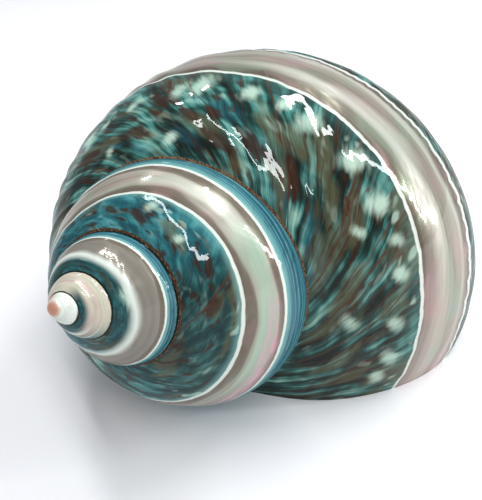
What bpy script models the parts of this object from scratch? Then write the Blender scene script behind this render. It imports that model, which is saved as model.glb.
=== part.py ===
"""A polished turban shell lying on its aperture, one solid with an open mouth underneath.

The shell is one growing tube wound round a straight axis. The tube's cross-section keeps its
shape while it grows by the same factor each turn, so every whorl is a larger copy of the last.
The tube is cut level where it meets the ground, which makes the flat rim of the mouth.
Frame: +Z up, the ground at Z = 0, the apex towards +X, the origin under the middle of the box.
"""

import math

import bmesh
import bpy
from mathutils import Matrix

MM = 0.001
TAU = 2 * math.pi

# Growth of the whorls. Angles along the tube are in radians, and the mouth is near angle 0.
GROWTH_PER_TURN = 2.150
TURNS = 5.0
LAST_ANGLE = 0.46
RADIUS_DRIFT = 0.0037
DEPTH_DRIFT = 0.0011

# Cross-section of the tube at angle 0, an oval leaning away from the axis.
CENTRE_RADIUS = 14.3 * MM
CENTRE_DEPTH = 50.5 * MM
LONG_HALF = 31.3 * MM
SHORT_HALF = 23.4 * MM
SECTION_LEAN = math.radians(51.9)
SECTION_FULLNESS = 0.926

# The last whorl slides down the one before it as it nears the mouth.
DESCENT = 10.6 * MM
DESCENT_START = -2.6
DESCENT_END = 0.6

# Near the mouth the side of the section that faces the pillar draws back to close the rim.
CLOSE_START = -1.2
CLOSE_END = 0.5
CLOSE_POWER = 2.4

# The hollow inside the last whorl.
WALL = 2.2 * MM
FLANK_WALL = 2.9 * MM
THINNEST = 0.4 * MM
INNER_REACH = 14.0 * MM
PILLAR_REACH = 14.0 * MM
HOLLOW_TURN = 0.86
HOLLOW_END = 0.5

# The pad of the inner lip, a long rounded lump under the last whorl beside the mouth.
PAD_FRONT = (-65.4 * MM, 4.6 * MM)
PAD_BACK = (-20.0 * MM, -2.5 * MM)
PAD_MIDDLE_HEIGHT = 2.0 * MM
PAD_HALF_WIDTH = 6.3 * MM
PAD_HALF_HEIGHT = 9.3 * MM
PAD_STATIONS = 28

# How the shell lies.
AXIS_RISE = math.radians(25.8)
SPIN = math.radians(21.46)
APEX_HEIGHT = 31.7 * MM

# Mesh fineness.
SKIN_GRID = 0.45 * MM
SKIN_FACETS = 7600
SIDES = 48
STEPS_LAST_TURNS = 64
STEPS_EARLY_TURNS = 36
HOLLOW_STEPS = 30
FINE_FROM = -1.35 * TAU

SHELL_COLOUR = (0.12, 0.30, 0.31, 1.0)


def growth(angle):
    """Size of the tube at this angle, as a share of its size at angle 0."""
    return GROWTH_PER_TURN ** (angle / TAU)


def descent(angle):
    """How far the section has slid down the axis at this angle."""
    share = (angle - DESCENT_START) / (DESCENT_END - DESCENT_START)
    share = min(max(share, 0.0), 1.0)
    return DESCENT * share * share * (3 - 2 * share)


def rounded(value, fullness):
    """A cosine or sine with its oval filled out towards a rounded square."""
    return math.copysign(abs(value) ** fullness, value)


def inner_side(angle):
    """How far across the section reaches on the side of the pillar."""
    share = min(max((angle - CLOSE_START) / (CLOSE_END - CLOSE_START), 0.0), 1.0)
    return SHORT_HALF * (1 - 2 * share**CLOSE_POWER)


def section_point(angle, around, ends):
    """Radius and depth of a point of the section before growth; ends are its limits along and across."""
    low_along, high_along, low_across, high_across = ends
    along = (low_along + high_along) / 2
    along += (high_along - low_along) / 2 * rounded(math.cos(around), SECTION_FULLNESS)
    across = (low_across + high_across) / 2
    across += (high_across - low_across) / 2 * rounded(math.sin(around), SECTION_FULLNESS)
    lean_cos, lean_sin = math.cos(SECTION_LEAN), math.sin(SECTION_LEAN)
    radius = CENTRE_RADIUS * math.exp(RADIUS_DRIFT * angle)
    depth = CENTRE_DEPTH * math.exp(DEPTH_DRIFT * angle) + descent(angle)
    return (
        radius + along * lean_cos - across * lean_sin,
        depth + along * lean_sin + across * lean_cos,
    )


def tube_point(angle, around, ends):
    """A point of the tube, with the apex at the origin and the axis along Z."""
    radius, depth = section_point(angle, around, ends)
    size = growth(angle)
    return (
        size * radius * math.cos(angle),
        -size * radius * math.sin(angle),
        -size * depth,
    )


def lying():
    """Turns the shell about its axis, leans the axis down to its rest angle and lifts the apex."""
    lean = Matrix.Rotation(math.pi / 2 - AXIS_RISE, 4, "Y")
    spin = Matrix.Rotation(SPIN, 4, "Z")
    return Matrix.Translation((0, 0, APEX_HEIGHT)) @ lean @ spin


def tube_mesh(name, angles, sides, shape, extra=None):
    """A closed tube of rings at these angles; shape gives the section's limits for an angle."""
    mesh = bmesh.new()
    rings = []
    for angle in angles:
        ends = shape(angle)
        ring = []
        for side in range(sides):
            around = TAU * side / sides
            ring.append(mesh.verts.new(tube_point(angle, around, ends)))
        rings.append(ring)
    for first, second in zip(rings, rings[1:]):
        for side in range(sides):
            after = (side + 1) % sides
            mesh.faces.new((first[side], first[after], second[after], second[side]))
    mesh.faces.new(rings[0])
    mesh.faces.new(reversed(rings[-1]))
    bmesh.ops.triangulate(mesh, faces=mesh.faces[:])
    bmesh.ops.recalc_face_normals(mesh, faces=mesh.faces[:])
    if mesh.calc_volume(signed=True) < 0:
        bmesh.ops.reverse_faces(mesh, faces=mesh.faces[:])
    mesh.transform(lying())
    data = bpy.data.meshes.new(name)
    mesh.to_mesh(data)
    if extra:
        extra.to_mesh(data)
        mesh.from_mesh(data)
        mesh.to_mesh(data)
        extra.free()
    mesh.free()
    made = bpy.data.objects.new(name, data)
    bpy.context.scene.collection.objects.link(made)
    return made


def inner_lip():
    """The pad of the inner lip, with rounded ends, already in the lying frame."""
    mesh = bmesh.new()
    rings = []
    for station in range(1, PAD_STATIONS):
        share = 0.5 - 0.5 * math.cos(math.pi * station / PAD_STATIONS)
        x = PAD_FRONT[0] + share * (PAD_BACK[0] - PAD_FRONT[0])
        y = PAD_FRONT[1] + share * (PAD_BACK[1] - PAD_FRONT[1])
        swell = math.sqrt(1 - abs(2 * share - 1) ** 3)
        ring = []
        for side in range(SIDES):
            around = TAU * side / SIDES
            side_step = swell * PAD_HALF_WIDTH * math.cos(around)
            rise = PAD_MIDDLE_HEIGHT + swell * PAD_HALF_HEIGHT * math.sin(around)
            ring.append(mesh.verts.new((x, y + side_step, rise)))
        rings.append(ring)
    for first, second in zip(rings, rings[1:]):
        for side in range(SIDES):
            after = (side + 1) % SIDES
            mesh.faces.new((first[side], second[side], second[after], first[after]))
    mesh.faces.new(rings[0])
    mesh.faces.new(reversed(rings[-1]))
    bmesh.ops.recalc_face_normals(mesh, faces=mesh.faces[:])
    return mesh


def outer_angles():
    """Angles of the rings, closer together on the last turns."""
    angles = [-TURNS * TAU]
    while angles[-1] < LAST_ANGLE:
        steps = STEPS_LAST_TURNS if angles[-1] >= FINE_FROM else STEPS_EARLY_TURNS
        angles.append(angles[-1] + TAU / steps)
    return angles


def outer_shape(angle):
    return -LONG_HALF, LONG_HALF, -SHORT_HALF, inner_side(angle)


def hollow_shape(angle):
    """The hollow keeps the wall outside it and leaves the pillar along the axis solid."""
    deep = min(max((angle + HOLLOW_TURN * TAU) / HOLLOW_END, 0.0), 1.0)
    taper = math.sqrt(max(1 - (1 - deep) ** 2, 0.0004))
    low_along, high_along = -INNER_REACH, LONG_HALF - WALL
    low_across = -SHORT_HALF + FLANK_WALL
    high_across = min(inner_side(angle) - FLANK_WALL, PILLAR_REACH)
    high_across = max(high_across, low_across + THINNEST)
    middle_along, middle_across = (low_along + high_along) / 2, (low_across + high_across) / 2
    return (
        middle_along + taper * (low_along - middle_along),
        middle_along + taper * (high_along - middle_along),
        middle_across + taper * (low_across - middle_across),
        middle_across + taper * (high_across - middle_across),
    )


def hollow_angles():
    first = -HOLLOW_TURN * TAU
    steps = [0.0, 0.06, 0.2]
    angles = [first + step * HOLLOW_END for step in steps]
    while angles[-1] < LAST_ANGLE:
        angles.append(angles[-1] + TAU / HOLLOW_STEPS)
    return angles


def ground_block():
    """Everything below the ground, cut away from the tube."""
    bpy.ops.mesh.primitive_cube_add(size=1, location=(0, 0, -0.1))
    block = bpy.context.active_object
    block.name = "ground_cutter"
    block.scale = (0.6, 0.6, 0.2)
    bpy.context.view_layer.update()
    block.data.transform(block.matrix_world)
    block.matrix_world = Matrix.Identity(4)
    return block


def settle(body):
    """Replaces the body's mesh by what its modifiers make of it."""
    graph = bpy.context.evaluated_depsgraph_get()
    result = bpy.data.meshes.new_from_object(body.evaluated_get(graph))
    body.modifiers.clear()
    body.data = result


def join_whorls(body):
    """Makes one skin of the whorls that run through each other, then thins its facets."""
    skin = body.modifiers.new("skin", "REMESH")
    skin.mode = "VOXEL"
    skin.voxel_size = SKIN_GRID
    settle(body)
    fewer = body.modifiers.new("fewer", "DECIMATE")
    fewer.ratio = SKIN_FACETS / (2 * len(body.data.polygons))
    fewer.use_collapse_triangulate = True
    settle(body)


def cut(body, cutter):
    """Removes the cutter's volume from the body."""
    step = body.modifiers.new(cutter.name, "BOOLEAN")
    step.operation = "DIFFERENCE"
    step.solver = "EXACT"
    step.object = cutter
    cutter.hide_render = True
    cutter.display_type = "WIRE"
    settle(body)
    bpy.data.objects.remove(cutter, do_unlink=True)


def centre_box(body):
    """Moves the shell so that its box stands centred on the origin."""
    low = [min(vertex.co[axis] for vertex in body.data.vertices) for axis in range(3)]
    high = [max(vertex.co[axis] for vertex in body.data.vertices) for axis in range(3)]
    shift = (-(low[0] + high[0]) / 2, -(low[1] + high[1]) / 2, -low[2])
    body.data.transform(Matrix.Translation(shift))


def shell_material():
    material = bpy.data.materials.new("polished_shell")
    material.use_nodes = True
    surface = material.node_tree.nodes["Principled BSDF"]
    surface.inputs["Base Color"].default_value = SHELL_COLOUR
    surface.inputs["Roughness"].default_value = 0.12
    surface.inputs["Metallic"].default_value = 0.0
    return material


def main():
    for old in list(bpy.data.objects):
        bpy.data.objects.remove(old, do_unlink=True)
    shell = tube_mesh("turban_shell", outer_angles(), SIDES, outer_shape, inner_lip())
    hollow = tube_mesh("hollow_cutter", hollow_angles(), 26, hollow_shape)
    join_whorls(shell)
    cut(shell, ground_block())
    cut(shell, hollow)
    centre_box(shell)
    shell.data.materials.clear()
    shell.data.materials.append(shell_material())
    shell.data.shade_smooth()


main()
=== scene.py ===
"""A polished banded turban shell lying on its mouth, with its floor, lights and camera.

The whorls are drawn as one long tube wound round a straight axis, trimmed where one whorl covers
the next, so each seam between them is a clean line. The mouth underneath has its own pieces.
Lengths are in metres and angles along the tube in radians, with the mouth near angle 0.
"""

import math

import bpy
import numpy as np
from bpy.props import FloatProperty, FloatVectorProperty, PointerProperty
from mathutils import Color, Matrix, Vector


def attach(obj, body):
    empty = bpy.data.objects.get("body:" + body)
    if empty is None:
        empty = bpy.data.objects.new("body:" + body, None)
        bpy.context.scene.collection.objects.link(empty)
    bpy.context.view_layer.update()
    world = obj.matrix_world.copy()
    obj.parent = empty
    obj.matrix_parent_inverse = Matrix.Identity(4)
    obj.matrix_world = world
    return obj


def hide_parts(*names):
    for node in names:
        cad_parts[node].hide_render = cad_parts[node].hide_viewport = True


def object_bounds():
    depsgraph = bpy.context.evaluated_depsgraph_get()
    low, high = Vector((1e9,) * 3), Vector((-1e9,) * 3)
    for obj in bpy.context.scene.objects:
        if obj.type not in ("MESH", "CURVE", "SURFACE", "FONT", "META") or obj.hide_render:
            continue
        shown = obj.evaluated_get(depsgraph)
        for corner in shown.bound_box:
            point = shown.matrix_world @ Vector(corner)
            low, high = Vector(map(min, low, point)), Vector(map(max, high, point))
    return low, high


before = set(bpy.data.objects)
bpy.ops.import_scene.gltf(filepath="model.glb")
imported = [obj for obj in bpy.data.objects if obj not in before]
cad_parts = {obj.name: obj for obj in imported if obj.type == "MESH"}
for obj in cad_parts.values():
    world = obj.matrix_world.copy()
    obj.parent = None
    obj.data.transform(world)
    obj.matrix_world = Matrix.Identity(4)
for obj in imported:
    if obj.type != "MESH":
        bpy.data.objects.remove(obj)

CAD_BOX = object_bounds()

bl_info = {
    "name": "Turban shell",
    "version": (1, 0, 0),
    "blender": (4, 5, 0),
    "location": "View3D > Sidebar > Shell",
    "description": "Builds a polished banded turban shell, its floor, lights and camera",
    "category": "Add Mesh",
}

MM = 0.001
TAU = 2 * math.pi
NODE = "turban_shell"

# The growing tube.
GROWTH_PER_TURN = 2.150
TURNS = 5.0
LAST_ANGLE = 0.46
RADIUS_DRIFT = 0.0037
DEPTH_DRIFT = 0.0011
CENTRE_RADIUS = 14.3 * MM
CENTRE_DEPTH = 50.5 * MM
LONG_HALF = 31.3 * MM
SHORT_HALF = 23.4 * MM
LEAN_COS = math.cos(math.radians(51.9))
LEAN_SIN = math.sin(math.radians(51.9))
FULLNESS = 0.926
DESCENT = 10.6 * MM
DESCENT_START = -2.6
DESCENT_END = 0.6
CLOSE_START = -1.2
CLOSE_END = 0.5
CLOSE_POWER = 2.4

# The hollow of the last whorl.
WALL = 2.2 * MM
FLANK_WALL = 2.9 * MM
THINNEST = 0.4 * MM
INNER_REACH = 14.0 * MM
PILLAR_REACH = 14.0 * MM
HOLLOW_START = -0.86 * TAU
HOLLOW_CLOSING = 0.5

# The pad of the inner lip beside the mouth.
PAD_FRONT = (-65.4 * MM, 4.6 * MM)
PAD_BACK = (-20.0 * MM, -2.5 * MM)
PAD_MIDDLE_HEIGHT = 2.0 * MM
PAD_HALF_WIDTH = 6.3 * MM
PAD_HALF_HEIGHT = 9.3 * MM

# How the shell lies, and where its box's middle goes.
AXIS_RISE = math.radians(25.8)
SPIN = math.radians(21.46)
APEX_HEIGHT = 31.7 * MM
CENTRE_SHIFT = (32.853 * MM, -5.805 * MM, 0.0)

# Where the bands of colour run round the section, in degrees, by turns along the tube.
UPPER_SEAM = -122.3
JADE_EDGE = (
    (-5.0, -98.0),
    (-2.75, -92.0),
    (-2.55, -95.0),
    (-2.4, -103.5),
    (-2.15, -100.0),
    (-2.0, -102.0),
    (-1.55, -104.0),
    (-1.45, -97.0),
    (-1.3, -93.0),
    (-1.15, -92.0),
    (-0.8, -84.0),
    (-0.55, -80.0),
    (-0.45, -87.0),
    (-0.2, -88.5),
    (-0.1, -83.0),
    (0.1, -82.0),
)
PEARL_EDGE = (
    (-5.0, -75.0),
    (-2.6, -81.0),
    (-2.45, -75.0),
    (-2.25, -73.0),
    (-2.1, -75.0),
    (-1.95, -73.0),
    (-1.75, -74.0),
    (-1.55, -79.0),
    (-1.45, -71.5),
    (-1.3, -70.0),
    (-1.1, -64.5),
    (-1.0, -60.0),
    (-0.7, -60.0),
    (-0.35, -61.5),
    (-0.25, -59.0),
    (-0.1, -61.0),
    (0.1, -61.0),
)

# Rows of marks on the jade: first and last turn, how many, degrees round the tube and how far they
# stray from it, then how far one mark reaches along the tube, in turns, and round it, in degrees.
PALE_ROWS = (
    (-0.60, -0.10, 15, -94, 1.5, 0.007, 3),
    (-0.60, -0.10, 4, -110, 7, 0.006, 2),
    (-1.42, -1.30, 2, -105, 6, 0.008, 3),
    (-2.30, -2.20, 1, -104, 0, 0.040, 9),
)
BROWN_ROWS = (
    (-0.60, -0.36, 9, -106, 9, 0.011, 3),
    (-0.36, -0.12, 5, -104, 8, 0.006, 4),
    (-1.60, -1.15, 5, -107, 4, 0.012, 4),
)
OLIVE_ROWS = (
    (-0.60, -0.42, 4, -107, 6, 0.016, 4),
    (-0.34, -0.10, 8, -107, 8, 0.009, 5),
    (-1.45, -1.15, 2, -106, 2, 0.017, 4),
)
BLUE_ROWS = (
    (-0.58, -0.36, 6, -110, 9, 0.013, 3),
    (-0.36, -0.22, 4, -113, 6, 0.012, 3),
)
MARK_SEED = 5
# Thin veins: where each leaves the rim of the jade, in turns, and its half width.
VEINS = ((-0.32, 0.0013), (-0.40, 0.0010), (-0.26, 0.0012), (-0.21, 0.0009), (-0.47, 0.0009), (-1.26, 0.0022))

# Fineness of the meshes.
SEAM_ROWS = 56
BASE_ROWS = 104
BASE_END = math.radians(152)
LAND_CELL = 0.5 * MM

BODY_START = LAST_ANGLE - TAU
NEAR_MOUTH = 0.3
SEAM_SEARCH_STEPS = 40
LINE_STEPS = 2001
LINE_SOFTNESS = 20
BODY_RINGS = 360
SPIRE_RINGS_PER_TURN = 180
TIP_RINGS_PER_TURN = 90
TIP_END = -3.2 * TAU
HOLLOW_RINGS = 150
PAD_RINGS = 90
ROUND_ROWS = 97
BEAD_RINGS = 25
BEAD_ROWS = 49

# Where the seams are looked for round a ring, and where they lie at the tip and on the base, in degrees.
UPPER_SEARCH = (-165, -95)
LOWER_SEARCH = (40, -95)
TIP_UPPER = -166
BASE_UPPER = -50
# Turns of the tube that can reach the mouth start here.
NEAR_TURNS_START = -3 * TAU

# The rounded start of the tube: how long it is, and the point that it closes towards.
CAP_LENGTH = 0.9
CAP_MIDDLE_ANGLE = 0.45
CAP_MIDDLE_DEPTH = 0.62

# The surface has no waves this close to a seam; a point with no seam below it counts as this far off.
CALM_MARGIN = 1.6 * MM
NO_SEAM = 30 * MM

# How far the trimmed edges run on past where they meet, so that no gap shows.
WHORL_OVERLAP = 0.12 * MM
HOLLOW_OVERLAP = 0.02 * MM
INNER_OVERLAP = 0.05 * MM

# Low waves of the surface, by how many go round in one turn.
RIDGES_PER_TURN = 29
FINE_RIDGES_PER_TURN = 83
DENTS_PER_TURN = 13

# The camera, fitted to the photograph, then the floor, the room and the light.
CAMERA_PLACE = (20.861 * MM, 28.108 * MM, 61.604 * MM)
CAMERA_RIGHT = (-0.425963, 0.904741, 0.0)
CAMERA_UP = (-0.546075, -0.257099, 0.797309)
PHOTO_WIDTH = 482
PHOTO_HEIGHT = 500
SENSOR_WIDTH = 36.0
FLOOR_SIZE = 3.0
ROOM_COLOUR = (0.92, 0.95, 1.0, 1.0)
ROOM_BRIGHTNESS = 0.54
PICTURE_GAMMA = 0.88
LIGHT_DISTANCE = 0.6
# Each window of light: its azimuth and elevation, width and height in degrees, and brightness.
WINDOWS = {
    "window_above": ((63, 76), 3.2, 74, 26.0),
    "window_behind": ((150, 57), 28, 3.6, 30.0),
    "window_right": ((116, 24), 2.6, 40, 26.0),
    "window_left": ((-132, 44), 6, 3, 36.0),
}

# The thin white callus that spreads from the pad over the whorls stops this far past its middle.
CALLUS_SIDE = 3.0 * MM

# The bead that closes the tip of the spire.
BEAD_RADIUS = 0.95 * MM
BEAD_DEPTH = 1.38 * MM


def growth(angle):
    """Size of the tube at this angle, as a share of its size at angle 0."""
    return GROWTH_PER_TURN ** (angle / TAU)


def smooth_share(value, start, end):
    share = np.clip((value - start) / (end - start), 0.0, 1.0)
    return share * share * (3 - 2 * share)


def columns(*items):
    return np.stack(items, axis=-1)


def mesh_grid(along, across):
    """Every pair of the two lists' values, as two long lists."""
    return [item.ravel() for item in np.meshgrid(along, across, indexing="ij")]


def rounded(value):
    return np.sign(value) * np.abs(value) ** FULLNESS


def outer_ends(angle):
    """The section's limits along and across, on the outside of the shell."""
    share = np.clip((angle - CLOSE_START) / (CLOSE_END - CLOSE_START), 0.0, 1.0)
    inner = SHORT_HALF * (1 - 2 * share**CLOSE_POWER)
    whole = np.full_like(inner, LONG_HALF)
    return -whole, whole, np.full_like(inner, -SHORT_HALF), inner


def hollow_ends(angle):
    """The same limits for the hollow of the last whorl."""
    deep = np.clip((angle - HOLLOW_START) / HOLLOW_CLOSING, 0.0, 1.0)
    taper = np.sqrt(np.maximum(1 - (1 - deep) ** 2, 0.0004))
    low_along = np.full_like(deep, -INNER_REACH)
    high_along = np.full_like(deep, LONG_HALF - WALL)
    low_across = np.full_like(deep, -SHORT_HALF + FLANK_WALL)
    high_across = np.minimum(outer_ends(angle)[3] - FLANK_WALL, PILLAR_REACH)
    high_across = np.maximum(high_across, low_across + THINNEST)
    mid_along = (low_along + high_along) / 2
    mid_across = (low_across + high_across) / 2
    return (
        mid_along + taper * (low_along - mid_along),
        mid_along + taper * (high_along - mid_along),
        mid_across + taper * (low_across - mid_across),
        mid_across + taper * (high_across - mid_across),
    )


def section_middle(angle):
    """Radius and depth of the section's middle before growth."""
    depth = CENTRE_DEPTH * np.exp(DEPTH_DRIFT * angle)
    depth = depth + DESCENT * smooth_share(angle, DESCENT_START, DESCENT_END)
    return CENTRE_RADIUS * np.exp(RADIUS_DRIFT * angle), depth


def tube_points(angle, around, ends):
    """Points of the tube in the shell's own frame, its tip at the origin and its axis along Z."""
    low_along, high_along, low_across, high_across = ends(angle)
    along = (low_along + high_along) / 2 + (high_along - low_along) / 2 * rounded(np.cos(around))
    across = (low_across + high_across) / 2
    across = across + (high_across - low_across) / 2 * rounded(np.sin(around))
    middle_radius, middle_depth = section_middle(angle)
    size = growth(angle)
    radius = size * (middle_radius + along * LEAN_COS - across * LEAN_SIN)
    depth = size * (middle_depth + along * LEAN_SIN + across * LEAN_COS)
    return columns(radius * np.cos(angle), -radius * np.sin(angle), -depth)


def reach_outside(radius, depth, angle, ends):
    """How far a point of the axis plane lies outside the tube's section at this angle."""
    size = growth(angle)
    middle_radius, middle_depth = section_middle(angle)
    radial = radius / size - middle_radius
    deep = depth / size - middle_depth
    along = radial * LEAN_COS + deep * LEAN_SIN
    across = -radial * LEAN_SIN + deep * LEAN_COS
    low_along, high_along, low_across, high_across = ends(angle)
    along = along - (low_along + high_along) / 2
    across = across - (low_across + high_across) / 2
    half_along = (high_along - low_along) / 2
    half_across = np.maximum((high_across - low_across) / 2, 1e-6)
    power = 2 / FULLNESS
    share = np.abs(along / half_along) ** power + np.abs(across / half_across) ** power
    share = np.maximum(share, 1e-9) ** (1 / power)
    distance = np.hypot(along, across)
    return size * distance * (1 - 1 / share)


def lying_matrix():
    """Leans the axis to its rest angle, lifts the tip and centres the shell's box."""
    lean = Matrix.Rotation(math.pi / 2 - AXIS_RISE, 4, "Y")
    spin = Matrix.Rotation(SPIN, 4, "Z")
    lift = Matrix.Translation((CENTRE_SHIFT[0], CENTRE_SHIFT[1], APEX_HEIGHT))
    return np.array(lift @ lean @ spin)


LYING = lying_matrix()


def to_world(points):
    return points @ LYING[:3, :3].T + LYING[:3, 3]


def to_shell(points):
    return (points - LYING[:3, 3]) @ LYING[:3, :3]


def outside_tube(points, ends, first, last, own_angle=None):
    """Smallest reach outside any turn of the tube; own_angle leaves out the turn a point is on."""
    local = to_shell(points)
    radius = np.hypot(local[:, 0], local[:, 1])
    azimuth = np.arctan2(-local[:, 1], local[:, 0])
    nearest = np.full(len(points), 1.0)
    for side, turn_shift in ((1.0, 0.0), (-1.0, math.pi)):
        for turn in range(-6, 2):
            angle = azimuth + turn_shift + turn * TAU
            allowed = (angle >= first) & (angle <= last)
            if own_angle is not None:
                allowed &= np.abs(angle - own_angle) > 0.2
            if not allowed.any():
                continue
            angle = np.clip(angle, first, last)
            reach = reach_outside(side * radius, -local[:, 2], angle, ends)
            nearest = np.where(allowed, np.minimum(nearest, reach), nearest)
    return nearest


def outside_pad(points):
    """How far a point lies outside the pad of the inner lip."""
    start = np.array(PAD_FRONT) + np.array(CENTRE_SHIFT[:2])
    end = np.array(PAD_BACK) + np.array(CENTRE_SHIFT[:2])
    run = end - start
    share = np.clip((points[:, 0] - start[0]) / run[0], -0.2, 1.2)
    middle_y = start[1] + share * run[1]
    inside = np.clip(1 - np.abs(2 * share - 1) ** 3, 1e-6, 1.0)
    swell = np.sqrt(inside)
    side = (points[:, 1] - middle_y) / (swell * PAD_HALF_WIDTH)
    rise = (points[:, 2] - PAD_MIDDLE_HEIGHT) / (swell * PAD_HALF_HEIGHT)
    return (np.hypot(side, rise) - 1) * swell * PAD_HALF_WIDTH


def callus_reach(points):
    """Distance from the part of the pad that shows under the back of the shell."""
    front, back = PAD_FRONT[0] + CENTRE_SHIFT[0], PAD_BACK[0] + CENTRE_SHIFT[0]
    past_ends = np.maximum(np.maximum(front - points[:, 0], points[:, 0] - back), 0.0)
    past_side = np.maximum(points[:, 1] - CENTRE_SHIFT[1] - PAD_FRONT[1] - CALLUS_SIDE, 0.0)
    near = np.maximum(outside_pad(points), 0.0)
    return np.sqrt(near**2 + past_ends**2 + (2 * past_side) ** 2)


def outside_solid(points):
    """How far a point lies outside the whorls and the pad, hollow or not."""
    tube = outside_tube(points, outer_ends, NEAR_TURNS_START, LAST_ANGLE)
    return np.minimum(tube, outside_pad(points))


def outside_hollow(points):
    return outside_tube(points, hollow_ends, HOLLOW_START, LAST_ANGLE)


def clip_mesh(points, triangles, values, field):
    """Keeps the part of a mesh where the field is positive, cutting triangles at its zero."""
    keep = field > 0
    count = keep[triangles].sum(axis=1)
    kept = [triangles[count == 3]]
    data = np.hstack([points, values])
    extra = []
    made = {}
    next_index = len(points)

    def crossing(first, second):
        nonlocal next_index
        key = (first, second) if first < second else (second, first)
        if key not in made:
            low, high = key
            share = field[low] / (field[low] - field[high])
            extra.append(data[low] + share * (data[high] - data[low]))
            made[key] = next_index
            next_index += 1
        return made[key]

    new = []
    for triangle in triangles[(count == 1) | (count == 2)].tolist():
        inside = [keep[corner] for corner in triangle]
        lone = inside.index(sum(inside) == 1)
        one, two, three = triangle[lone], triangle[lone - 2], triangle[lone - 1]
        first, second = crossing(one, two), crossing(one, three)
        if sum(inside) == 1:
            new.append((one, first, second))
        else:
            new.append((first, two, three))
            new.append((first, three, second))
    if new:
        kept.append(np.array(new))
        data = np.vstack([data, np.array(extra)])
    triangles = np.vstack(kept)
    used, renumbered = np.unique(triangles, return_inverse=True)
    data = data[used]
    return data[:, :3], renumbered.reshape(-1, 3), data[:, 3:]


def grid_triangles(rings, rows):
    """Two triangles for each cell of a grid of rings, wound so that they face outwards."""
    first = np.arange(rings - 1)[:, None] * rows
    row = np.arange(rows - 1)
    after = row + 1
    a, b = first + row, first + after
    c, d = first + rows + after, first + rows + row
    quads = columns(a, b, c, a, c, d)
    return quads.reshape(-1, 3)


def pinch_ends(triangles, rings, rows):
    """Makes one point of each end ring of a grid, so that the ends close without a hole."""
    last = (rings - 1) * rows
    triangles = np.where(triangles < rows, 0, triangles)
    triangles = np.where(triangles >= last, last, triangles)
    a, b, c = triangles.T
    return triangles[(a != b) & (b != c) & (c != a)]


def piece(name, points, triangles, material, layers=None):
    """A smooth-shaded mesh object of the shell, riding on its body."""
    data = bpy.data.meshes.new(name)
    data.from_pydata(points.tolist(), [], triangles.tolist())
    for layer, values in (layers or {}).items():
        coords = data.uv_layers.new(name=layer)
        corners = values[triangles.reshape(-1)]
        coords.data.foreach_set("uv", corners.astype(np.float32).reshape(-1))
    data.materials.append(material)
    data.validate()
    data.shade_smooth()
    made = bpy.data.objects.new(name, data)
    bpy.context.scene.collection.objects.link(made)
    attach(made, "root")
    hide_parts(NODE)
    return made


def table_line(table, turn):
    """A smooth line through the table's points."""
    spots = np.array(table)
    fine = np.linspace(spots[0, 0], spots[-1, 0], LINE_STEPS)
    values = np.interp(fine, spots[:, 0], spots[:, 1])
    kernel = np.hanning(2 * LINE_SOFTNESS + 1)
    padded = np.pad(values, LINE_SOFTNESS, mode="edge")
    return np.interp(turn, fine, np.convolve(padded, kernel / kernel.sum(), mode="valid"))


def ring_angles():
    """Angles of the rings, finer towards the mouth; every turn shares the angles of the next."""
    angles = [LAST_ANGLE - TAU * step / BODY_RINGS for step in range(BODY_RINGS)]
    angle = BODY_START
    while angle > -TURNS * TAU + 1e-6:
        angles.append(angle)
        angle -= TAU / (SPIRE_RINGS_PER_TURN if angle > TIP_END else TIP_RINGS_PER_TURN)
    angles.append(-TURNS * TAU)
    return np.array(sorted(angles))


def seam_around(angle, neighbour, low, high):
    """Where a ring comes out of its neighbour's section, between these two places round it."""
    low = np.full_like(angle, low)
    high = np.full_like(angle, high)
    for _ in range(SEAM_SEARCH_STEPS):
        middle = (low + high) / 2
        local = tube_points(angle, middle, outer_ends)
        radius = local[:, 0] * np.cos(angle) - local[:, 1] * np.sin(angle)
        reach = reach_outside(radius, -local[:, 2], angle + neighbour, outer_ends)
        low = np.where(reach < 0, middle, low)
        high = np.where(reach < 0, high, middle)
    return (low + high) / 2


def seam_limits(angles):
    """Places round each ring where the whorl before it and the one after it meet it."""
    nominal_upper = math.radians(UPPER_SEAM)
    upper = seam_around(angles, -TAU, *np.radians(UPPER_SEARCH))
    first_turn = smooth_share(angles, (-TURNS + 1.0) * TAU, (-TURNS + 1.12) * TAU)
    tip = np.full_like(angles, math.radians(TIP_UPPER))
    upper = np.where(angles - TAU < -TURNS * TAU, tip, upper)
    upper = np.where(first_turn < 1, np.minimum(upper, tip + first_turn * (nominal_upper - tip)), upper)
    covered = np.minimum(angles, BODY_START)
    lower = seam_around(covered, TAU, *np.radians(LOWER_SEARCH))
    fade = smooth_share(angles, BODY_START, BODY_START + 0.2 * TAU)
    lower = lower + fade * (math.radians(BASE_UPPER) - lower)
    return upper, lower


def growth_shift(around_degrees):
    """How far, in turns, a growth line runs ahead of its place on the rim of the jade."""
    share = -(around_degrees + 90) / 32
    return np.where(share > 0, 0.07 * share + 0.05 * share**2, 0.06 * share)


def ripple(turn, around_degrees):
    """Height of the low growth ridges and dents of the polished surface."""
    line = turn - growth_shift(around_degrees)
    ridges = np.sin(TAU * RIDGES_PER_TURN * line + 1.6 * np.sin(TAU * 7 * line + 0.04 * around_degrees))
    finer = np.sin(TAU * FINE_RIDGES_PER_TURN * line + 3.1 * np.sin(TAU * 11 * line))
    dents = np.sin(TAU * DENTS_PER_TURN * turn + 0.21 * around_degrees)
    dents = dents * np.sin(TAU * 5.3 * turn - 0.13 * around_degrees)
    strong = 0.06 + 0.14 * smooth_share(turn, -0.95, -0.85)
    strong += 0.5 * smooth_share(turn, -0.40, -0.50) * smooth_share(turn, -0.95, -0.80)
    return strong * ridges + 0.03 * finer + 0.26 * dents


def growth_arc(line):
    """Length along the tube up to a growth line, so that streaks keep their width on small whorls."""
    return 1.6 * GROWTH_PER_TURN**line


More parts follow.
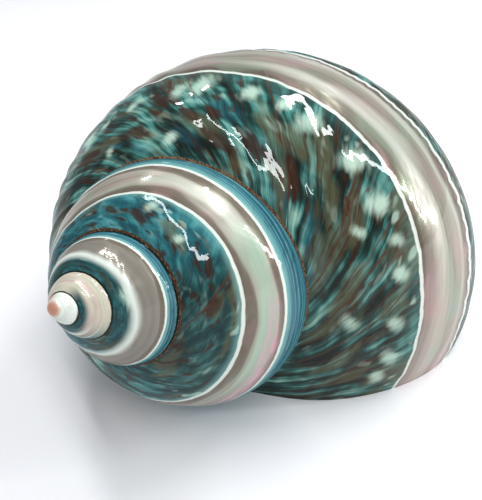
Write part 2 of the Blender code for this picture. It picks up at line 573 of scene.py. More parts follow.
def scattered_marks(rows):
    """Marks strewn along their rows: turn, degrees round the tube and reach both ways of each."""
    chance = np.random.default_rng(MARK_SEED)
    marks = []
    for first, last, count, place, stray, wide, tall in rows:
        gap = (last - first) / count
        for number in range(count):
            turn = first + gap * (number + 0.5 + chance.uniform(-0.35, 0.35))
            size = chance.uniform(0.75, 1.35)
            marks.append((turn, place + chance.uniform(-stray, stray), wide * size, tall * size))
    return marks


def mark_field(rows, line, around_degrees, slant=1.0):
    """1 at the middle of each mark, fading to 0; with a slant of 1 a mark follows its growth line."""
    field = np.zeros_like(line)
    for turn, place, wide, tall in scattered_marks(rows):
        home = turn - slant * growth_shift(np.array(place))
        reach = ((line - home) / wide) ** 2 + ((around_degrees - place) / tall) ** 2
        field = np.maximum(field, np.exp(-0.7 * reach))
    return field


def seam_widening(turn):
    """How much wider the rough seam line is than elsewhere, by the turn that the seam is on."""
    thick = smooth_share(turn, -2.05, -1.8) * smooth_share(turn, -0.85, -1.0)
    return 0.6 + 1.0 * thick + 0.7 * smooth_share(turn, -0.95, -0.8)


def whorl_layers(angle, around, upper, lower):
    """Coordinates that the shell's finish is painted by, one row for each point."""
    turn = angle / TAU
    degrees = np.degrees(around)
    jade_edge = table_line(JADE_EDGE, turn)
    pearl_edge = table_line(PEARL_EDGE, turn)
    band = np.where(
        degrees < jade_edge,
        (degrees - UPPER_SEAM) / (jade_edge - UPPER_SEAM),
        1 + (degrees - jade_edge) / (pearl_edge - jade_edge),
    )
    band = np.where(degrees > pearl_edge, 2 + (degrees - pearl_edge) / 18, band)
    line = turn - growth_shift(degrees)
    upper_reach = upper * 100 / seam_widening(turn)
    lower_reach = lower * 100 / seam_widening(turn + 1)
    pale, brown = mark_field(PALE_ROWS, turn, degrees, 0.0), mark_field(BROWN_ROWS, line, degrees)
    olive, blue = mark_field(OLIVE_ROWS, line, degrees), mark_field(BLUE_ROWS, line, degrees)
    return {
        "whorl_place": columns(turn, band),
        "growth_place": columns(line, growth_arc(line)),
        "seam_reach": columns(upper_reach, lower_reach),
        "pale_and_brown": columns(pale, brown),
        "olive_and_blue": columns(olive, blue),
    }


def whorl_surface(ripple_height):
    """The outside of all whorls: points, triangles and painting coordinates."""
    angles = ring_angles()
    upper, lower = seam_limits(angles)
    rows = np.linspace(0, 1, SEAM_ROWS)
    around = upper[:, None] + rows * (lower - upper)[:, None]
    body = angles >= BODY_START - 1e-9
    steps = np.linspace(0, 1, BASE_ROWS)[1:]
    base = lower[body][:, None] + steps * (BASE_END - lower[body])[:, None]

    spire_angle = np.repeat(angles[:, None], SEAM_ROWS, axis=1)
    base_angle = np.repeat(angles[body][:, None], BASE_ROWS - 1, axis=1)
    all_angle = np.concatenate([spire_angle.ravel(), base_angle.ravel()])
    all_around = np.concatenate([around.ravel(), base.ravel()])
    spire_count = around.size

    spire = grid_triangles(len(angles), SEAM_ROWS)
    number = np.arange(spire_count).reshape(len(angles), SEAM_ROWS)
    base_number = spire_count + np.arange(base.size).reshape(base.shape)
    sheet = np.hstack([number[body][:, -1:], base_number])
    triangles = np.vstack([spire, sheet.ravel()[grid_triangles(*sheet.shape)]])

    size = growth(all_angle)
    local_points = tube_points(all_angle, all_around, outer_ends)
    cap = np.clip((all_angle + TURNS * TAU) / CAP_LENGTH, 0.0, 1.0)
    blunt = np.sqrt(np.maximum(1 - (1 - cap) ** 2, 0.0))
    tip_angle = -TURNS * TAU + CAP_MIDDLE_ANGLE
    tip = np.array([0.0, 0.0, -growth(tip_angle) * CAP_MIDDLE_DEPTH * CENTRE_DEPTH])
    local_points = tip + blunt[:, None] * (local_points - tip)
    points = to_world(local_points)

    ring_upper = np.concatenate([np.repeat(upper, SEAM_ROWS), np.repeat(upper[body], BASE_ROWS - 1)])
    ring_lower = np.concatenate([np.repeat(lower, SEAM_ROWS), np.repeat(lower[body], BASE_ROWS - 1)])
    arm = size * (LONG_HALF + SHORT_HALF) / 2
    from_upper = (all_around - ring_upper) * arm
    covered = all_angle < BODY_START
    from_lower = np.where(covered, (ring_lower - all_around) * arm, NO_SEAM)

    layers = whorl_layers(all_angle, all_around, from_upper, from_lower)
    degrees = np.degrees(all_around)
    calm = smooth_share(np.minimum(from_upper, from_lower), 0.0, CALM_MARGIN)
    calm = calm * smooth_share(all_angle, -3.4 * TAU, -1.8 * TAU)
    height = ripple(all_angle / TAU, degrees)
    normals = surface_normals(all_angle, all_around)
    lift = -ripple_height * calm * (0.5 + 0.5 * height)
    points = points + lift[:, None] * normals
    return points, triangles, layers, all_angle


def surface_normals(angle, around):
    """Outward normals of the tube, from small steps along it and round it."""
    step = 1e-4
    along = tube_points(angle + step, around, outer_ends) - tube_points(angle - step, around, outer_ends)
    across = tube_points(angle, around + step, outer_ends) - tube_points(angle, around - step, outer_ends)
    normal = np.cross(across, along)
    length = np.linalg.norm(normal, axis=1, keepdims=True)
    return (normal / np.maximum(length, 1e-12)) @ LYING[:3, :3].T


def split_layers(layers):
    names = list(layers)
    return names, np.hstack([layers[name] for name in names])


def join_layers(names, values):
    return {name: values[:, 2 * index : 2 * index + 2] for index, name in enumerate(names)}


def tip_bead():
    """The smooth bead that closes the tip of the spire."""
    across = np.linspace(0, math.pi, BEAD_RINGS)
    round_it = np.linspace(0, TAU, BEAD_ROWS)
    tilt, azimuth = mesh_grid(across, round_it)
    radius = BEAD_RADIUS * np.sin(tilt)
    depth = BEAD_DEPTH - BEAD_RADIUS * np.cos(tilt)
    local = columns(radius * np.cos(azimuth), radius * np.sin(azimuth), -depth)
    turn = -4.75 + 0.42 * (tilt / math.pi) * 2
    none, far = np.zeros_like(turn), np.full_like(turn, 10.0)
    layers = {
        "whorl_place": columns(turn, np.full_like(turn, 1.5)),
        "growth_place": columns(turn, none),
        "seam_reach": columns(far, far),
        "pale_and_brown": columns(none, none),
        "olive_and_blue": columns(none, none),
        "callus_place": columns(far, none),
    }
    triangles = pinch_ends(grid_triangles(BEAD_RINGS, BEAD_ROWS), BEAD_RINGS, BEAD_ROWS)
    return clip_mesh(to_world(local), triangles, split_layers(layers)[1], np.ones(len(turn)))


def outside_other_whorls(points, own_angle):
    other = outside_tube(points, outer_ends, NEAR_TURNS_START, LAST_ANGLE, own_angle)
    return np.minimum(other, outside_pad(points)) + WHORL_OVERLAP


def cut_near_mouth(points, triangles, values, reach):
    """Cuts a mesh where this reach is negative, near the mouth only; values end with own angles."""
    near_mouth = values[:, -1] > BODY_START - NEAR_MOUTH
    field = np.ones(len(points))
    field[near_mouth] = reach(points[near_mouth], values[near_mouth, -1])
    return clip_mesh(points, triangles, values, field)


def trimmed_whorls(ripple_height):
    """The outside of the whorls, cut at the ground, the pad, the hollow and where it runs inside."""
    points, triangles, layers, angle = whorl_surface(ripple_height)
    names, values = split_layers(layers)
    values = np.hstack([values, angle[:, None]])
    points, triangles, values = clip_mesh(points, triangles, values, points[:, 2])
    points, triangles, values = cut_near_mouth(points, triangles, values, outside_other_whorls)
    points, triangles, values = cut_near_mouth(
        points, triangles, values, lambda near, _: outside_hollow(near) + HOLLOW_OVERLAP
    )
    bead, bead_triangles, bead_values = tip_bead()
    triangles = np.vstack([triangles, bead_triangles + len(points)])
    points = np.vstack([points, bead])
    callus = columns(callus_reach(points[: len(values)]) * 100, np.zeros(len(values)))
    values = np.hstack([values[:, : 2 * len(names)], callus])
    names = names + ["callus_place"]
    values = np.vstack([values, bead_values])
    return points, triangles, join_layers(names, values)


def hollow_surface():
    """The wall of the hollow, facing inwards, with place along and round it."""
    rings = np.linspace(0, 1, HOLLOW_RINGS)
    angles = HOLLOW_START + (LAST_ANGLE - HOLLOW_START) * rings**1.15
    around = np.linspace(-math.pi, math.pi, ROUND_ROWS)
    angle, place = mesh_grid(angles, around)
    points = to_world(tube_points(angle, place, hollow_ends))
    triangles = grid_triangles(len(angles), len(around))[:, ::-1]
    values = columns(angle / TAU, place / math.pi)
    points, triangles, values = clip_mesh(points, triangles, values, points[:, 2])
    return clip_mesh(points, triangles, values, -outside_solid(points) + INNER_OVERLAP)


def pad_surface():
    """The pad of the inner lip, kept where it stands out of the whorls and the hollow."""
    stations = 0.5 - 0.5 * np.cos(np.linspace(0, math.pi, PAD_RINGS))
    around = np.linspace(0, TAU, ROUND_ROWS)
    share, place = mesh_grid(stations, around)
    swell = np.sqrt(1 - np.abs(2 * share - 1) ** 3)
    x = PAD_FRONT[0] + share * (PAD_BACK[0] - PAD_FRONT[0]) + CENTRE_SHIFT[0]
    y = PAD_FRONT[1] + share * (PAD_BACK[1] - PAD_FRONT[1]) + CENTRE_SHIFT[1]
    y = y + swell * PAD_HALF_WIDTH * np.cos(place)
    z = PAD_MIDDLE_HEIGHT + swell * PAD_HALF_HEIGHT * np.sin(place)
    points = columns(x, y, z)
    triangles = grid_triangles(PAD_RINGS, ROUND_ROWS)
    triangles = pinch_ends(triangles, PAD_RINGS, ROUND_ROWS)[:, ::-1]
    values = columns(share, place / TAU)
    points, triangles, values = clip_mesh(points, triangles, values, points[:, 2])
    field = outside_tube(points, outer_ends, NEAR_TURNS_START, LAST_ANGLE) + INNER_OVERLAP
    points, triangles, values = clip_mesh(points, triangles, values, field)
    return clip_mesh(points, triangles, values, outside_hollow(points))


def rim_surface():
    """The flat rim of the mouth and the other flat spots that the shell rests on."""
    low = np.array(CAD_BOX[0][:2]) - 2 * MM
    high = np.array(CAD_BOX[1][:2]) + 2 * MM
    across = np.arange(low[0], high[0], LAND_CELL)
    deep = np.arange(low[1], high[1], LAND_CELL)
    x, y = mesh_grid(across, deep)
    points = columns(x, y, np.zeros(x.size))
    triangles = grid_triangles(len(across), len(deep))[:, ::-1]
    values = points[:, :2] * 10
    points, triangles, values = clip_mesh(points, triangles, values, -outside_solid(points))
    return clip_mesh(points, triangles, values, outside_hollow(points))


class Value:
    """What one node gives; adding, subtracting or multiplying it adds the node that does so."""

    def __init__(self, board, socket):
        self.board = board
        self.socket = socket

    def __add__(self, other):
        return self.board.math("ADD", self, other)

    def __sub__(self, other):
        return self.board.math("SUBTRACT", self, other)

    def __mul__(self, other):
        return self.board.math("MULTIPLY", self, other)

    def __abs__(self):
        return self.board.math("ABSOLUTE", self)


class NodeBoard:
    """Adds nodes to one material and joins them."""

    def __init__(self, name):
        self.material = bpy.data.materials.new(name)
        self.material.use_nodes = True
        self.tree = self.material.node_tree
        self.surface = self.tree.nodes["Principled BSDF"]

    def feed(self, socket, value):
        if isinstance(value, Value):
            self.tree.links.new(value.socket, socket)
        elif isinstance(value, Color):
            socket.default_value = (*value, 1.0)
        else:
            socket.default_value = value

    def put(self, kind, **settings):
        node = self.tree.nodes.new(kind)
        for key, value in settings.items():
            setattr(node, key, value)
        return node

    def math(self, operation, *values):
        node = self.put("ShaderNodeMath", operation=operation)
        for socket, value in zip(node.inputs, values):
            self.feed(socket, value)
        return Value(self, node.outputs[0])

    def larger(self, first, second):
        return self.math("MAXIMUM", first, second)

    def mask(self, value, low, high):
        """0 below low and 1 above high, with a smooth step between; high may be the lower one."""
        node = self.put("ShaderNodeMapRange", interpolation_type="SMOOTHSTEP")
        self.feed(node.inputs["Value"], value)
        self.feed(node.inputs["From Min"], low)
        self.feed(node.inputs["From Max"], high)
        return Value(self, node.outputs["Result"])

    def window(self, value, start, full, fading, end):
        """1 between full and fading, 0 before start and after end."""
        return self.mask(value, start, full) * self.mask(value, end, fading)

    def mix(self, share, first, second, blend="MIX"):
        node = self.put("ShaderNodeMix", data_type="RGBA", blend_type=blend)
        self.feed(node.inputs["Factor"], share)
        self.feed(node.inputs[6], first)
        self.feed(node.inputs[7], second)
        return Value(self, node.outputs[2])

    def blend(self, share, first, second):
        node = self.put("ShaderNodeMix", data_type="FLOAT")
        self.feed(node.inputs[0], share)
        self.feed(node.inputs[2], first)
        self.feed(node.inputs[3], second)
        return Value(self, node.outputs[0])

    def place(self, x, y, z):
        node = self.put("ShaderNodeCombineXYZ")
        for socket, item in zip(node.inputs, (x, y, z)):
            self.feed(socket, item)
        return Value(self, node.outputs[0])

    def noise(self, along, along_scale, across, across_scale, seed, detail, rough=0.5):
        """Noise that varies along the tube and across its bands at these scales."""
        node = self.put("ShaderNodeTexNoise", noise_dimensions="3D")
        place = self.place(along * along_scale, across * across_scale, seed)
        self.feed(node.inputs["Vector"], place)
        self.feed(node.inputs["Scale"], 1.0)
        self.feed(node.inputs["Detail"], detail)
        self.feed(node.inputs["Roughness"], rough)
        return Value(self, node.outputs["Fac"])

    def ramp(self, value, stops):
        node = self.put("ShaderNodeValToRGB")
        elements = node.color_ramp.elements
        while len(elements) < len(stops):
            elements.new(0.5)
        for element, (position, colour) in zip(elements, stops):
            element.position = position
            element.color = (*colour, 1.0)
        self.feed(node.inputs["Fac"], value)
        return Value(self, node.outputs["Color"])

    def layer(self, name):
        source = self.put("ShaderNodeUVMap", uv_map=name)
        split = self.put("ShaderNodeSeparateXYZ")
        self.tree.links.new(source.outputs["UV"], split.inputs[0])
        return Value(self, split.outputs[0]), Value(self, split.outputs[1])


def jade_colour(board, colours, turn, band, line, arc):
    """Streaked jade: soft streaks along the growth lines, with brown, olive, blue and pale marks."""
    mix, mask, noise, larger = board.mix, board.mask, board.noise, board.larger
    drift = noise(turn, 20.0, band, 3.0, 3.0, 1.0) - 0.5
    arc = drift * 0.016 + arc
    streaks = noise(arc, 118.0, band, 2.2, 0.0, 1.5)
    wide = noise(arc, 46.0, band, 2.6, 5.0, 1.0)
    hairs = noise(arc, 430.0, band, 1.6, 9.0, 1.0)
    dashes = noise(turn, 34.0, band, 9.0, 2.0, 1.5)
    tone = streaks * 0.34 + wide * 0.34 + hairs * 0.12 + dashes * 0.20
    late = mask(turn, -0.42, -0.30) * mask(band, 0.0, 0.3)
    under = board.window(turn, -1.32, -1.22, -1.05, -0.95)
    tone = (late + under) * -0.014 + tone
    calm = mask(turn, -0.9, -1.1) * 0.4
    tone = board.blend(calm, tone, 0.525)
    jade = board.ramp(
        tone,
        (
            (0.41, colours.deep_green),
            (0.46, colours.dark_teal),
            (0.50, colours.teal),
            (0.55, colours.turquoise),
            (0.63, colours.mint),
        ),
    )
    shade = under * 0.5 + late * 0.22
    jade = mix(shade, jade, colours.deep_green)
    pale_mark, brown_mark = board.layer("pale_and_brown")
    olive_mark, blue_mark = board.layer("olive_and_blue")
    cloud = noise(arc, 90.0, band, 4.0, 17.0, 2.0) - 0.5
    blueness = cloud * 0.8 + blue_mark
    small_whorls = mask(turn, -0.85, -1.05)
    early = small_whorls - under * 0.8
    blueness = larger(mask(blueness, 0.2, 0.8), early * 0.8)
    blueness = blueness * board.blend(small_whorls, 0.5, 1.0)
    jade = mix(blueness * 0.45, jade, colours.blue, "OVERLAY")
    jade = mix(blueness * 0.35, jade, colours.blue)
    patches = noise(arc, 26.0, band, 2.8, 21.0, 1.5)
    patches = late * 0.06 + patches
    olive = mask(cloud * 0.9 + olive_mark, 0.25, 0.75)
    olive = larger(olive, mask(patches, 0.54, 0.68))
    jade = mix(olive * 0.6, jade, colours.olive)
    rust = noise(arc, 170.0, band, 2.0, 37.0, 1.0)
    rust = mask(rust, 0.54, 0.68) * late
    jade = mix(rust * 0.7, jade, colours.brown)
    spots = noise(arc, 84.0, band, 5.0, 33.0, 2.0)
    spots = mask(turn, -0.36, -0.50) * 0.06 + spots
    brown = mask(cloud * 1.3 + brown_mark, 0.35, 0.8)
    brown = larger(brown, mask(spots, 0.60, 0.72))
    jade = mix(brown * 0.82, jade, colours.brown)
    ridge = abs(noise(arc, 64.0, band, 0.9, 41.0, 1.0) - 0.5)
    crack = mask(ridge, 0.014, 0.003) * mask(turn, -0.95, -0.85)
    jade = mix(crack * 0.6, jade, colours.vein)
    jade = mix(mask(turn, -1.9, -2.1) * 0.5, jade, colours.dark_teal)
    bend = noise(turn, 9.0, band, 5.0, 47.0, 2.0)
    bent = (bend - 0.5) * 0.014 + line
    veins = None
    for home, half_width in VEINS:
        away = abs(bent - home)
        vein = mask(away, half_width * 1.5, half_width * 0.5)
        veins = vein if veins is None else larger(veins, vein)
    jade = mix(veins * 0.85, jade, colours.vein)
    flecks = noise(arc, 70.0, band, 6.0, 55.0, 1.0)
    near_rim = mask(band, 0.5, 0.95) * 0.5 + 0.2
    flecks = mask(flecks, 0.62, 0.74) * near_rim
    fuzz = noise(arc, 230.0, band, 9.0, 59.0, 2.0) - 0.5
    soft = fuzz * 0.7 + cloud * 0.9 + pale_mark
    pale = larger(mask(soft, 0.15, 1.05), flecks)
    return mix(pale * 0.8, jade, colours.pale_spot)


def pearl_colour(board, colours, turn, band, arc):
    """Grey-brown pearl, ruled along the spiral, with soft pink and green sheens and painted highlights."""
    mix, mask, noise = board.mix, board.mask, board.noise
    warp = noise(turn, 9.0, band, 4.0, 61.0, 2.0)
    across = (warp - 0.5) * 0.42 + band - 1.0
    pearl = board.ramp(
        across,
        (
            (0.03, colours.pearl_brown),
            (0.14, colours.pearl),
            (0.34, colours.pearl_light),
            (0.52, colours.pearl),
            (0.70, colours.pearl_light),
            (0.82, colours.pearl),
            (0.97, colours.pearl_brown),
        ),
    )
    rules = noise(turn, 5.0, band, 22.0, 67.0, 3.0, 0.6)
    pearl = mix(mask(rules, 0.5, 0.3) * 0.45, pearl, colours.pearl_brown)
    sheen = noise(turn, 24.0, band, 3.0, 71.0, 1.5)
    smallest = mask(turn, -1.75, -1.95)
    strength = board.blend(smallest, 0.38, 0.12)
    pink = mask(sheen, 0.50, 0.66) * strength
    pearl = mix(pink, pearl, colours.pearl_pink)
    late_blush = mask(turn, -0.26, -0.14) * 0.2
    pearl = mix(late_blush, pearl, colours.pearl_pink)
    green = mask(sheen, 0.48, 0.34) * strength
    pearl = mix(green, pearl, colours.pearl_green)
    dim = mask(turn, -0.85, -1.05) * 0.22
    pearl = mix(dim, pearl, colours.pearl_grey)
    grey = mask(abs(band - 1.48), 0.42, 0.2)
    pearl = mix(grey * smallest * 0.75, pearl, colours.pearl_grey)
    before_body = mask(turn, -0.9, -1.05)
    edges = board.larger(
        mask(abs(across - 0.84), 0.13, 0.04),
        mask(abs(across - 0.12), 0.13, 0.04),
    )
    pearl = mix(edges * before_body * 0.6, pearl, colours.pearl_brown)
    # Painted highlight: a broad band along the middle of the pearl on the whorl before the last, white at
    # first, then pale green, standing in for a reflection of the lights.
    middle = mask(abs(across - 0.48), 0.30, 0.08)
    satin_highlight = board.window(turn, -1.48, -1.36, -1.14, -1.02)
    satin_highlight = satin_highlight * middle * 0.68
    painted_highlight = mix(mask(turn, -1.26, -1.34), colours.satin_highlight, colours.painted_highlight)
    pearl = mix(satin_highlight, pearl, painted_highlight)
    # Painted highlight: a broad and a thin white streak along the pearl band of the last whorl, standing in
    # for reflections of the lights.
    broad_highlight = mask(abs(across - 0.34), 0.22, 0.04)
    narrow = mask(abs(across - 0.76), 0.08, 0.02)
    streaks = board.larger(broad_highlight * 0.6, narrow * 0.5)
    streaks = streaks * board.window(turn, -0.46, -0.38, -0.29, -0.20)
    pearl = mix(streaks, pearl, colours.painted_highlight)
    blush = mask(abs(across - 0.68), 0.24, 0.05)
    blush = blush * board.window(turn, -1.24, -1.14, -1.06, -0.98)
    veil = noise(turn, 26.0, band, 7.0, 73.0, 3.0)
    blush = blush * (mask(veil, 0.38, 0.60) * 0.65 + 0.15)
    pearl = mix(blush, pearl, colours.blush)
    threads = noise(arc, 300.0, band, 1.5, 81.0, 1.0)
    threads = mask(threads, 0.55, 0.8) * mask(turn, -0.95, -0.85)
    return mix(threads * 0.18, pearl, colours.pearl_light)


def strip_colour(board, colours, turn, band, arc):
    """The narrow turquoise strip below the pearl, ruled with fine dark spiral lines."""
    mask = board.mask
    rules = board.noise(turn, 2.5, band, 8.0, 91.0, 3.0, 0.7)
    strip = board.ramp(
        rules,
        (
            (0.36, colours.strip_dark),
            (0.49, colours.strip),
            (0.78, colours.glow),
        ),
    )
    grains = board.noise(arc, 120.0, band, 1.6, 97.0, 2.0)
    strip = board.mix(mask(grains, 0.52, 0.72) * 0.35, strip, colours.dark_teal)
    glow = mask(band, 2.35, 2.0) * mask(turn, -0.85, -1.0)
    return board.mix(glow * 0.7, strip, colours.glow)


def polished_shell(colours, sizes):
    """The shell's finish: jade, pearl and turquoise bands, cream lines and brown seams."""
    board = NodeBoard("polished_shell")
    mix, mask, noise, blend = board.mix, board.mask, board.noise, board.blend
    turn, band = board.layer("whorl_place")
    line, arc = board.layer("growth_place")
    from_upper, from_lower = board.layer("seam_reach")
    body = mask(turn, -0.98, -0.86)

    wobble = noise(arc, 80.0, band, 2.0, 101.0, 2.0) - 0.5
    upper_place = wobble * 0.05 + band
    teeth = noise(turn, 130.0, band, 0.0, 107.0, 1.0) - 0.5
    reach = blend(body, 0.04, 0.22)
    lower_place = teeth * reach + band

    jade = jade_colour(board, colours, turn, band, line, arc)
    pearl = pearl_colour(board, colours, turn, band, arc)
    strip = strip_colour(board, colours, turn, band, arc)
    strip = mix(body, strip, jade)
    tooth = mask(lower_place, 1.80, 1.92) * mask(teeth, -0.10, 0.08)
    pearl = mix(tooth * body * 0.8, pearl, colours.pearl_brown)

    colour = mix(mask(upper_place, 0.99, 1.0), jade, pearl)
    colour = mix(mask(lower_place, 1.99, 2.0), colour, strip)
    halo = mask(upper_place, 0.84, 1.0) * mask(band, 1.03, 0.99)
    colour = mix(halo * blend(body, 0.55, 0.12), colour, colours.glow)
    fade = board.window(band, 0.60, 0.98, 1.02, 1.25)
    fade = fade * mask(turn, -1.85, -2.05)
    colour = mix(fade * 0.9, colour, colours.cream)
    cream_upper = abs(upper_place - 1.01)
    wide_upper = blend(body, 0.042, 0.026)
    cream_upper = board.math("DIVIDE", cream_upper, wide_upper)
    colour = mix(mask(cream_upper, 1.0, 0.5), colour, colours.cream)
    cream_lower = abs(lower_place - 1.98)
    wide_lower = blend(body, 0.066, 0.07)
    cream_lower = board.math("DIVIDE", cream_lower, wide_lower)
    colour = mix(mask(cream_lower, 1.0, 0.5), colour, colours.cream)

    young = board.larger(mask(band, 0.35, 0.85), mask(turn, -3.26, -3.44))
    young = young * mask(turn, -2.95, -3.15)
    sheen = noise(turn, 5.0, band, 2.0, 131.0, 2.0)
    ivory = mix(mask(sheen, 0.45, 0.62), colours.young, colours.pearl_pink)
    ivory = mix(mask(sheen, 0.46, 0.32), ivory, colours.pearl_green)
    ivory = mix(0.6, ivory, colours.young)
    colour = mix(young, colour, ivory)
    colour = mix(mask(turn, -3.5, -4.1), colour, colours.cream)
    colour = mix(mask(turn, -4.45, -4.62), colour, colours.tip)

    ragged = noise(arc, 500.0, band, 12.0, 111.0, 2.0)
    width = ragged * 0.030 + 0.004
    near = board.math("MINIMUM", from_upper, from_lower)
    near = board.math("DIVIDE", near, width)
    seam = mask(near, 1.2, 0.7)
    rust = noise(arc, 420.0, band, 40.0, 117.0, 2.0)
    rust = body * 0.12 + rust
    line_colour = mix(mask(rust, 0.52, 0.66), colours.seam, colours.seam_tan)
    line_colour = mix(mask(turn, -1.95, -2.1), line_colour, colours.deep_green)
    colour = mix(seam * mask(turn, -4.25, -4.1), colour, line_colour)
    callus = board.layer("callus_place")[0]
    edge = noise(arc, 60.0, band, 2.5, 137.0, 3.0)
    callus = (edge - 0.5) * 0.7 + callus
    callus = mask(callus, 0.62, 0.22)
    colour = mix(callus, colour, colours.mouth)
    board.feed(board.surface.inputs["Base Color"], colour)

    in_pearl = board.window(band, 0.99, 1.05, 1.93, 2.0)
    board.feed(board.surface.inputs["Metallic"], in_pearl * blend(body, 0.14, 0.36))
    rough = blend(in_pearl, 0.20, 0.24)
    board.feed(board.surface.inputs["Roughness"], blend(seam, rough, 0.6))
    board.surface.inputs["IOR"].default_value = 1.40
    board.surface.inputs["Specular IOR Level"].default_value = 0.0
    board.surface.inputs["Coat Weight"].default_value = 0.45
    board.surface.inputs["Coat Roughness"].default_value = 0.03
    board.surface.inputs["Coat IOR"].default_value = 1.60

    waves = noise(arc, 34.0, band, 4.0, 127.0, 2.0)
    height = waves * blend(body, 0.26, 2.2)
    bump = board.put("ShaderNodeBump")
    bump.inputs["Strength"].default_value = 1.0
    bump.inputs["Distance"].default_value = sizes.surface_relief
    board.feed(bump.inputs["Height"], height)
    board.feed(board.surface.inputs["Normal"], Value(board, bump.outputs[0]))
    board.feed(board.surface.inputs["Coat Normal"], Value(board, bump.outputs[0]))
    return board.material


def mouth_pearl(colours):
    """Smooth white pearl of the mouth and the inner lip."""
    board = NodeBoard("mouth_pearl")
    place = Value(board, board.put("ShaderNodeTexCoord").outputs["Object"])
    cloud = board.put("ShaderNodeTexNoise")
    board.feed(cloud.inputs["Vector"], place)
    cloud.inputs["Scale"].default_value = 90.0
    cloud.inputs["Detail"].default_value = 3.0
    colour = board.ramp(
        Value(board, cloud.outputs["Fac"]),
        (
            (0.35, colours.pearl_pink),
            (0.5, colours.mouth),
            (0.65, colours.pearl_green),
        ),
    )
    board.feed(board.surface.inputs["Base Color"], board.mix(0.65, colour, colours.mouth))
    board.surface.inputs["Roughness"].default_value = 0.22
    board.surface.inputs["Coat Weight"].default_value = 0.7
    board.surface.inputs["Coat Roughness"].default_value = 0.05
    return board.material


class TurbanShellSizes(bpy.types.PropertyGroup):
    """Sizes of the shell's surface that a user may change."""

    ripple_height: FloatProperty(
        name="Ripple height",
        description="Depth of the low growth ridges and dents in the polished surface",
        default=0.25 * MM,
        min=0.0,
        subtype="DISTANCE",
        unit="LENGTH",
    )
    surface_relief: FloatProperty(
        name="Surface relief",
        description="Depth of the finest relief, seen only in the reflections",
        default=0.06 * MM,
        min=0.0,
        subtype="DISTANCE",
        unit="LENGTH",
    )


def tint(name, description, default):
    """A colour that a user may change."""
    return FloatVectorProperty(
        name=name,
        description=description,
        subtype="COLOR",
        size=3,
        min=0.0,
        max=1.0,
        default=default,
    )


class TurbanShellColours(bpy.types.PropertyGroup):
    """Colours of the shell and the floor."""

    deep_green: tint("Deep green", "Darkest streaks of the jade", (0.007, 0.014, 0.010))
    dark_teal: tint("Dark teal", "Dark streaks of the jade", (0.011, 0.042, 0.036))
    teal: tint("Teal", "Main colour of the jade", (0.027, 0.104, 0.090))
    turquoise: tint("Turquoise", "Light streaks of the jade", (0.092, 0.280, 0.252))
    mint: tint("Mint", "Lightest streaks of the jade", (0.330, 0.540, 0.450))
    blue: tint("Blue", "Bluer parts of the jade", (0.038, 0.250, 0.340))
    pale_spot: tint("Pale spot", "Pale spots along the jade's rim", (0.560, 0.720, 0.600))
    olive: tint("Olive", "Olive patches in the jade", (0.135, 0.125, 0.066))
    brown: tint("Brown", "Brown dashes in the jade", (0.048, 0.018, 0.009))
    vein: tint("Vein", "Thin red-brown veins across the jade", (0.095, 0.036, 0.020))
    seam: tint("Seam", "Rough line between two whorls", (0.060, 0.026, 0.014))
    seam_tan: tint("Seam tan", "Lighter grains of that line", (0.230, 0.150, 0.085))
    cream: tint("Cream", "Thin lines beside the pearl band", (0.700, 0.745, 0.680))
    glow: tint("Glow", "Pale turquoise beside the cream lines", (0.260, 0.520, 0.490))
    pearl: tint("Pearl", "Main colour of the pearl band", (0.290, 0.272, 0.220))
    pearl_brown: tint("Pearl brown", "Dark streaks of the pearl band", (0.150, 0.115, 0.088))
    pearl_light: tint("Pearl light", "Light streaks of the pearl band", (0.480, 0.465, 0.385))
    pearl_grey: tint("Pearl grey", "Middle of the band on the small whorls", (0.225, 0.205, 0.180))
    pearl_pink: tint("Pearl pink", "Pink sheen of the pearl", (0.540, 0.350, 0.365))
    pearl_green: tint("Pearl green", "Green sheen of the pearl", (0.310, 0.440, 0.320))
    # The white of the painted highlights on the pearl.
    painted_highlight: tint("Gleam", "White gleam of the pearl", (0.780, 0.790, 0.710))
    blush: tint("Blush", "Strong pink of the pearl", (0.660, 0.370, 0.450))
    # The pale green of a painted highlight on the pearl.
    satin_highlight: tint("Satin", "Pale green gleam of the pearl", (0.420, 0.580, 0.460))
    strip: tint("Strip", "Narrow strip below the pearl band", (0.040, 0.165, 0.215))
    strip_dark: tint("Strip dark", "Fine lines along that strip", (0.014, 0.070, 0.090))
    young: tint("Young whorls", "Cream pearl of the first whorls", (0.560, 0.530, 0.430))
    tip: tint("Tip", "Tip of the spire", (0.560, 0.300, 0.210))
    mouth: tint("Mouth", "Pearl of the mouth", (0.800, 0.780, 0.710))
    floor: tint("Floor", "Floor under the shell", (0.880, 0.880, 0.895))


class TURBAN_OT_whorls(bpy.types.Operator):
    """Build the outside of the whorls, from the tip of the spire to the lip"""

    bl_idname = "turban.whorls"
    bl_label = "Whorls"

    def execute(self, context):
        scene = context.scene
        points, triangles, layers = trimmed_whorls(scene.turban_sizes.ripple_height)
        finish = polished_shell(scene.turban_colours, scene.turban_sizes)
        piece("whorls", points, triangles, finish, layers)
        return {"FINISHED"}


class TURBAN_OT_mouth(bpy.types.Operator):
    """Build the mouth: its hollow, its flat rim and the pad of the inner lip"""

    bl_idname = "turban.mouth"
    bl_label = "Mouth"

    def execute(self, context):
        finish = mouth_pearl(context.scene.turban_colours)
        parts = (("mouth_hollow", hollow_surface), ("mouth_rim", rim_surface), ("inner_lip", pad_surface))
        for name, make in parts:
            points, triangles, values = make()
            piece(name, points, triangles, finish, {"mouth_place": values})
        return {"FINISHED"}


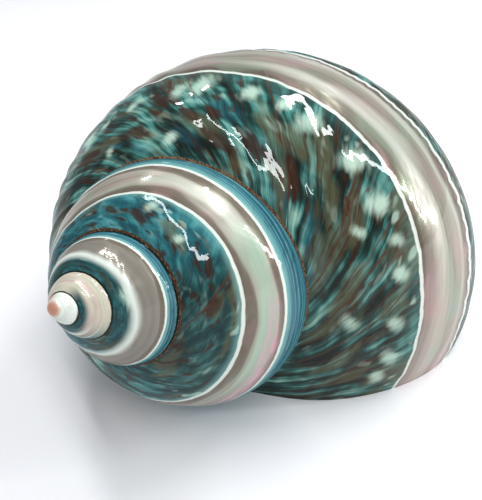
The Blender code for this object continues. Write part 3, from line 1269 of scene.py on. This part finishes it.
def area_light(name, direction, width, height, brightness):
    """A soft window of light. Direction, width and height are degrees as the shell sees them."""
    azimuth, elevation = (math.radians(value) for value in direction)
    flat = Vector((math.cos(azimuth), math.sin(azimuth), 0.0))
    towards = flat * math.cos(elevation) + Vector((0.0, 0.0, math.sin(elevation)))
    level = Vector((-math.sin(azimuth), math.cos(azimuth), 0.0))
    data = bpy.data.lights.new(name, "AREA")
    data.shape = "RECTANGLE"
    data.size = 2 * LIGHT_DISTANCE * math.tan(math.radians(width) / 2)
    data.size_y = 2 * LIGHT_DISTANCE * math.tan(math.radians(height) / 2)
    data.energy = brightness * math.pi * data.size * data.size_y
    lamp = bpy.data.objects.new(name, data)
    turn = Matrix((level, towards.cross(level), towards)).transposed().to_4x4()
    lamp.matrix_world = Matrix.Translation(towards * LIGHT_DISTANCE) @ turn
    bpy.context.scene.collection.objects.link(lamp)


def floor_finish(colours):
    board = NodeBoard("pale_floor")
    board.feed(board.surface.inputs["Base Color"], colours.floor)
    board.surface.inputs["Roughness"].default_value = 0.5
    board.surface.inputs["Specular IOR Level"].default_value = 0.2
    return board.material


def photo_camera():
    """The camera, at the photograph's place and angle."""
    data = bpy.data.cameras.new("camera")
    data.sensor_fit = "HORIZONTAL"
    data.sensor_width = SENSOR_WIDTH
    data.lens = SENSOR_WIDTH * PHOTO_HEIGHT / PHOTO_WIDTH
    data.clip_start = 0.002
    data.clip_end = 20.0
    camera = bpy.data.objects.new("camera", data)
    right, up = Vector(CAMERA_RIGHT), Vector(CAMERA_UP)
    back = right.cross(up)
    turn = Matrix((right, up, back)).transposed().to_4x4()
    place = Vector(CAMERA_PLACE) + Vector(CENTRE_SHIFT)
    camera.matrix_world = Matrix.Translation(place) @ turn
    bpy.context.scene.collection.objects.link(camera)
    bpy.context.scene.camera = camera


class TURBAN_OT_stage(bpy.types.Operator):
    """Build the pale floor, the soft studio lights and the camera"""

    bl_idname = "turban.stage"
    bl_label = "Floor, lights and camera"

    def execute(self, context):
        bpy.ops.mesh.primitive_plane_add(size=FLOOR_SIZE, location=(0, 0, 0))
        floor = context.active_object
        floor.name = "floor"
        floor.data.materials.append(floor_finish(context.scene.turban_colours))
        world = bpy.data.worlds.new("soft_room")
        world.use_nodes = True
        room = world.node_tree.nodes["Background"]
        room.inputs["Color"].default_value = ROOM_COLOUR
        room.inputs["Strength"].default_value = ROOM_BRIGHTNESS
        context.scene.world = world
        for name, window in WINDOWS.items():
            area_light(name, *window)
        photo_camera()
        context.scene.view_settings.view_transform = "Standard"
        context.scene.view_settings.gamma = PICTURE_GAMMA
        return {"FINISHED"}


class TURBAN_PT_shell(bpy.types.Panel):
    """Lists the shell's pieces and its sizes and colours"""

    bl_label = "Turban shell"
    bl_idname = "TURBAN_PT_shell"
    bl_space_type = "VIEW_3D"
    bl_region_type = "UI"
    bl_category = "Shell"

    def draw(self, context):
        layout = self.layout
        for operator in (TURBAN_OT_whorls, TURBAN_OT_mouth, TURBAN_OT_stage):
            layout.operator(operator.bl_idname)
        for group in (context.scene.turban_sizes, context.scene.turban_colours):
            box = layout.box()
            for name in group.__annotations__:
                box.prop(group, name)


CLASSES = (
    TurbanShellSizes,
    TurbanShellColours,
    TURBAN_OT_whorls,
    TURBAN_OT_mouth,
    TURBAN_OT_stage,
    TURBAN_PT_shell,
)


def register():
    for item in CLASSES:
        bpy.utils.register_class(item)
    bpy.types.Scene.turban_sizes = PointerProperty(type=TurbanShellSizes)
    bpy.types.Scene.turban_colours = PointerProperty(type=TurbanShellColours)


def unregister():
    del bpy.types.Scene.turban_colours
    del bpy.types.Scene.turban_sizes
    for item in reversed(CLASSES):
        bpy.utils.unregister_class(item)


def main():
    register()
    bpy.ops.turban.stage()
    bpy.ops.turban.whorls()
    bpy.ops.turban.mouth()


if __name__ == "__main__":
    main()
